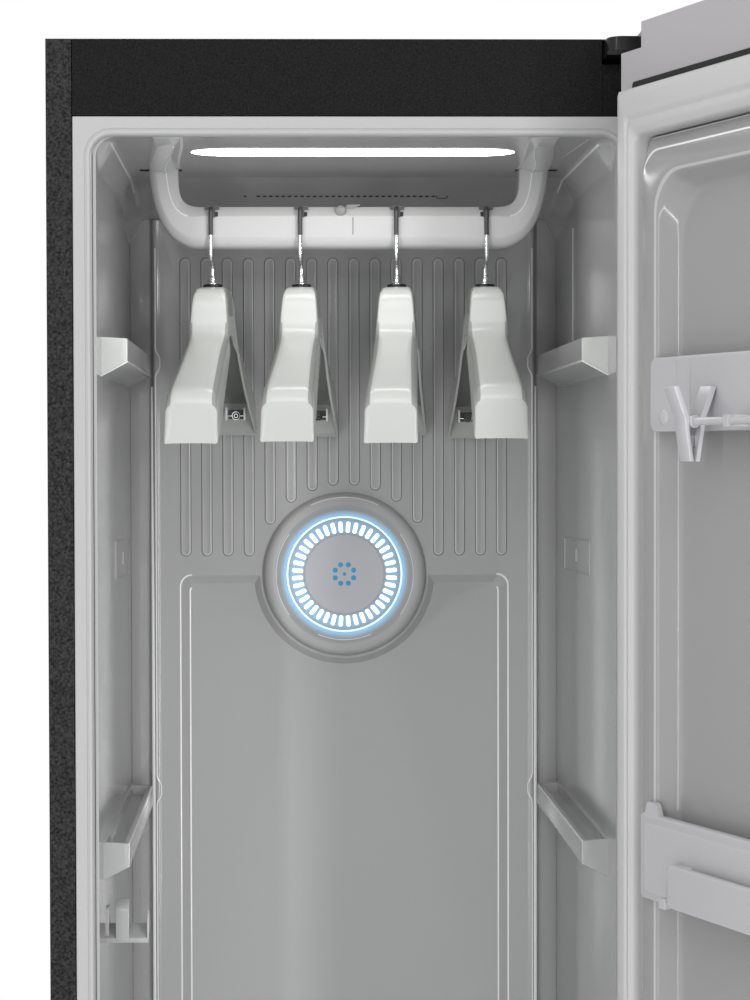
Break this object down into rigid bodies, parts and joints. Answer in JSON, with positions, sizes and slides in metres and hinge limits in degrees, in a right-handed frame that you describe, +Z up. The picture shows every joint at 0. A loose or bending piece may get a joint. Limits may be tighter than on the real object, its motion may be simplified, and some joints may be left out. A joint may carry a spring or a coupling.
{
  "type": "clothes care steam cabinet",
  "caption": "Tall floor-standing cabinet that steams and dries clothes on a shaken hanger rail, with a lit round air outlet, water tanks and an open door with trouser clips.",
  "frame": {"origin": "on the floor, in the middle of the case's footprint", "axes": "+Z up, the front with its door faces -Y, +X to the right seen from the front"},
  "size_m": [0.8382, 1.1239, 1.96],
  "materials": {
    "case_paint": "fine textured charcoal paint",
    "zinc_sheet": "zinc coated sheet",
    "black_plastic": "fine grained",
    "trim_metal": "satin silver",
    "cabin_plastic": "satin grey moulding",
    "outlet_plastic": "semi gloss",
    "lamp_plastic": "frosted",
    "board_green": "circuit board",
    "rail_plastic": "satin light grey",
    "hanger_plastic": "soft gloss off white",
    "hook_chrome": "polished",
    "bright_steel": "brushed",
    "bushing_brass": "turned",
    "seal_rubber": "soft pale grey",
    "foot_rubber": "black",
    "foot_plastic": "black",
    "door_glass": "dark back painted glass",
    "door_paint": "satin grey",
    "door_plastic": "satin grey moulding",
    "tank_plastic": "translucent grey",
    "filter_plastic": "dark grey frame",
    "machine_paint": "black enamel",
    "coil_metal": "finned",
    "boiler_plastic": "heat resistant"
  },
  "bodies": {
    "case": {"side_panel_left": "case_paint", "side_panel_right": "case_paint", "top_panel": "case_paint", "back_panel": "zinc_sheet", "front_band": "black_plastic", "opening_trim": "trim_metal", "liner": "cabin_plastic", "duct_cover": "cabin_plastic", "cabin_floor": "cabin_plastic", "tank_bay": "cabin_plastic", "base_pan": "zinc_sheet", "rear_feet": "foot_rubber", "hinge_brackets": "bright_steel", "hinge_cover": "black_plastic", "hinge_pins": "bright_steel", "lamp_lens": "lamp_plastic", "light_boards": "board_green", "ring_bezel": "outlet_plastic", "ring_light_guide": "lamp_plastic", "ring_cap": "outlet_plastic", "ceiling": "cabin_plastic", "rail_shaft": "bright_steel", "shaft_blocks": "rail_plastic", "shaker_motor": "bright_steel", "accessory_hook": "cabin_plastic", "compressor": "machine_paint", "heat_exchangers": "coil_metal", "steam_generator": "boiler_plastic", "blower_housing": "boiler_plastic", "control_box": "black_plastic", "power_inlet": "black_plastic", "cover_screws": "bright_steel"},
    "rail": {"hanger_rail": "rail_plastic", "rail_carriages": "rail_plastic"},
    "crank_wheel": {"crank": "rail_plastic"},
    "supply_tank_body": {"supply_tank": "tank_plastic"},
    "drain_tank_body": {"drain_tank": "tank_plastic"},
    "filter_body": {"lint_filter": "filter_plastic"},
    "wheel_body": {"blower_wheel": "boiler_plastic"},
    "foot_left": {"front_foot_left": "foot_plastic"},
    "foot_right": {"front_foot_right": "foot_plastic"},
    "door": {"door_shell": "door_paint", "door_front": "door_glass", "door_liner": "door_plastic", "door_gasket": "seal_rubber", "hinge_bushings": "bushing_brass", "clip_holder": "door_plastic", "clip_jaws": "door_plastic", "press_rack": "door_plastic"},
    "clip_left": {"clip_lever_left": "door_plastic"},
    "clip_right": {"clip_lever_right": "door_plastic"},
    "press_bar_body": {"press_bar": "door_plastic"},
    "hook_body_1": {"hook_1": "hook_chrome"},
    "hanger_body_1": {"hanger_1": "hanger_plastic"},
    "hook_body_2": {"hook_2": "hook_chrome"},
    "hanger_body_2": {"hanger_2": "hanger_plastic"},
    "hook_body_3": {"hook_3": "hook_chrome"},
    "hanger_body_3": {"hanger_3": "hanger_plastic"},
    "hook_body_4": {"hook_4": "hook_chrome"},
    "hanger_body_4": {"hanger_4": "hanger_plastic"}
  },
  "joints": [
    {"name": "rail_shake", "type": "slide", "parent": "case", "child": "rail", "axis": [1, 0, 0], "range_m": [-0.007, 0.007]},
    {"name": "crank_turn", "type": "hinge", "parent": "case", "child": "crank_wheel", "pos_m": [0, 0.026, 1.8852], "axis": [0, 0, 1], "range_deg": [-30, 30]},
    {"name": "door_swing", "type": "hinge", "parent": "case", "child": "door", "pos_m": [0.283, -0.3155, 1], "axis": [0, 0, 1], "range_deg": [-114, 0]},
    {"name": "supply_tank_pull", "type": "slide", "parent": "case", "child": "supply_tank_body", "axis": [0, -1, 0], "range_m": [0, 0.2]},
    {"name": "drain_tank_pull", "type": "slide", "parent": "case", "child": "drain_tank_body", "axis": [0, -1, 0], "range_m": [0, 0.2]},
    {"name": "filter_lift", "type": "slide", "parent": "case", "child": "filter_body", "axis": [0, 0, 1], "range_m": [0, 0.06]},
    {"name": "blower_spin", "type": "hinge", "parent": "case", "child": "wheel_body", "pos_m": [0, 0.031, 0.345], "axis": [0, 1, 0], "continuous": true},
    {"name": "foot_left_turn", "type": "hinge", "parent": "case", "child": "foot_left", "pos_m": [-0.23, -0.211, 0], "axis": [0, 0, 1], "continuous": true},
    {"name": "foot_right_turn", "type": "hinge", "parent": "case", "child": "foot_right", "pos_m": [0.23, -0.211, 0], "axis": [0, 0, 1], "continuous": true},
    {"name": "press_bar_fold", "type": "hinge", "parent": "door", "child": "press_bar_body", "pos_m": [0.33325, -0.60291, 1.161], "axis": [0.4067, -0.9135, 0], "range_deg": [0, 60]},
    {"name": "clip_left_pinch", "type": "hinge", "parent": "door", "child": "clip_left", "pos_m": [0.36992, -0.71356, 1.586], "axis": [-0.4067, 0.9135, 0], "range_deg": [0, 28], "stiffness_Nm_per_rad": 0.05, "springref_deg": -22.92},
    {"name": "clip_right_pinch", "type": "hinge", "parent": "door", "child": "clip_right", "pos_m": [0.27556, -0.50162, 1.586], "axis": [-0.4067, 0.9135, 0], "range_deg": [0, 28], "stiffness_Nm_per_rad": 0.05, "springref_deg": -22.92},
    {"name": "hook_1_rock", "type": "hinge", "parent": "rail", "child": "hook_body_1", "pos_m": [-0.14775, -0.019, 1.8238], "axis": [0, 1, 0], "range_deg": [-6, 6]},
    {"name": "hanger_1_swivel", "type": "hinge", "parent": "hook_body_1", "child": "hanger_body_1", "pos_m": [-0.14775, -0.019, 1.7408], "axis": [0, 0, 1], "range_deg": [-8, 8]},
    {"name": "hook_2_rock", "type": "hinge", "parent": "rail", "child": "hook_body_2", "pos_m": [-0.05175, -0.019, 1.8238], "axis": [0, 1, 0], "range_deg": [-6, 6]},
    {"name": "hanger_2_swivel", "type": "hinge", "parent": "hook_body_2", "child": "hanger_body_2", "pos_m": [-0.05175, -0.019, 1.7408], "axis": [0, 0, 1], "range_deg": [-8, 8]},
    {"name": "hook_3_rock", "type": "hinge", "parent": "rail", "child": "hook_body_3", "pos_m": [0.05175, -0.019, 1.8238], "axis": [0, 1, 0], "range_deg": [-6, 6]},
    {"name": "hanger_3_swivel", "type": "hinge", "parent": "hook_body_3", "child": "hanger_body_3", "pos_m": [0.05175, -0.019, 1.7408], "axis": [0, 0, 1], "range_deg": [-8, 8]},
    {"name": "hook_4_rock", "type": "hinge", "parent": "rail", "child": "hook_body_4", "pos_m": [0.14775, -0.019, 1.8238], "axis": [0, 1, 0], "range_deg": [-6, 6]},
    {"name": "hanger_4_swivel", "type": "hinge", "parent": "hook_body_4", "child": "hanger_body_4", "pos_m": [0.14775, -0.019, 1.7408], "axis": [0, 0, 1], "range_deg": [-8, 8]}
  ],
  "couplings": [
    {"joint": "crank_turn", "follows": "rail_shake", "rad_per_m": -71.429}
  ]
}
